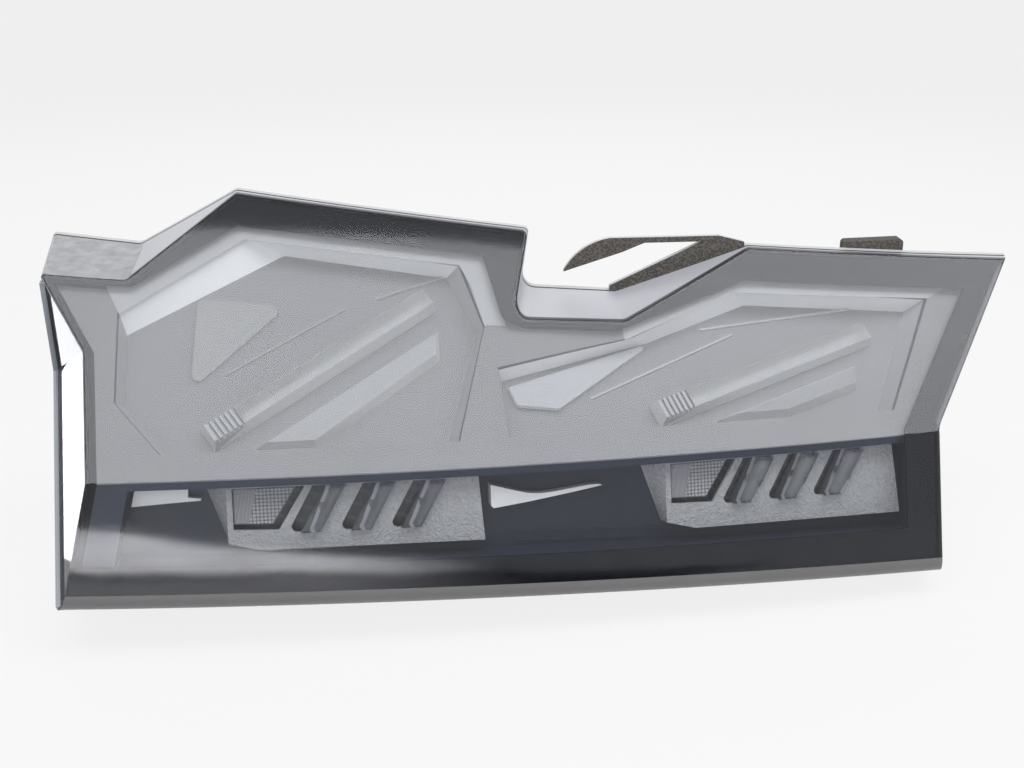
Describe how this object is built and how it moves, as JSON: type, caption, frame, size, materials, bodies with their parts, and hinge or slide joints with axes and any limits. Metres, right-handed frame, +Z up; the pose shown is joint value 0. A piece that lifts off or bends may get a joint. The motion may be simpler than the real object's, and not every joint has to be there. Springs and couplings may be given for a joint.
{
  "type": "tail light cluster",
  "caption": "Wide wrap-round car tail light: creased clear lens with a black border, stepped top edge, slanted light guides inside, and studs and a socket behind.",
  "frame": {"origin": "midway between the two studs, in the plane where the lamp seats on the body panel", "axes": "+X to the right seen from the front, -Y out of the front, +Z up"},
  "size_m": [0.492, 0.1855, 0.1885],
  "materials": {
    "clear_lens": "clear polished moulding",
    "black_border": "gloss black",
    "black_mask": "gloss black",
    "housing": "fine moulded grain",
    "seal": "matte bead",
    "foam": "open celled foam",
    "tray": "satin metallised",
    "light_guide": "clear polished",
    "prism": "prismatic clear moulding",
    "wedge": "fine line grain",
    "fascia": "coarse leather grain",
    "fin": "satin white",
    "board": "black solder mask",
    "diode": "yellow phosphor in a white frame",
    "screw": "zinc plated",
    "stud": "zinc plated",
    "socket": "black moulding",
    "terminal": "plated",
    "vent": "matte moulding"
  },
  "bodies": {
    "root": {"outer_lens": "clear_lens", "lens_frame": "black_border", "inner_bezel": "black_mask", "lower_tray": "black_mask", "rear_housing": "housing", "lens_seal": "seal", "notch_foam": "foam", "edge_foam": "foam", "body_gasket": "foam", "upper_tray_left": "tray", "upper_tray_right": "tray", "light_bar_left": "light_guide", "light_bar_right": "light_guide", "claw_left_1": "light_guide", "claw_left_2": "light_guide", "claw_left_3": "light_guide", "claw_right_1": "light_guide", "claw_right_2": "light_guide", "claw_right_3": "light_guide", "prism_left": "prism", "prism_right": "prism", "wedge_left": "wedge", "wedge_right": "wedge", "fascia_left": "fascia", "fascia_right": "fascia", "fin_left": "fin", "fin_right": "fin", "bar_board_left": "board", "bar_board_right": "board", "claw_board_left": "board", "claw_board_right": "board", "driver_board": "board", "bar_leds": "diode", "claw_leds": "diode", "driver_screws": "screw", "body_studs": "stud", "connector_socket": "socket", "connector_terminals": "terminal", "vent_cap": "vent"}
  },
  "joints": []
}
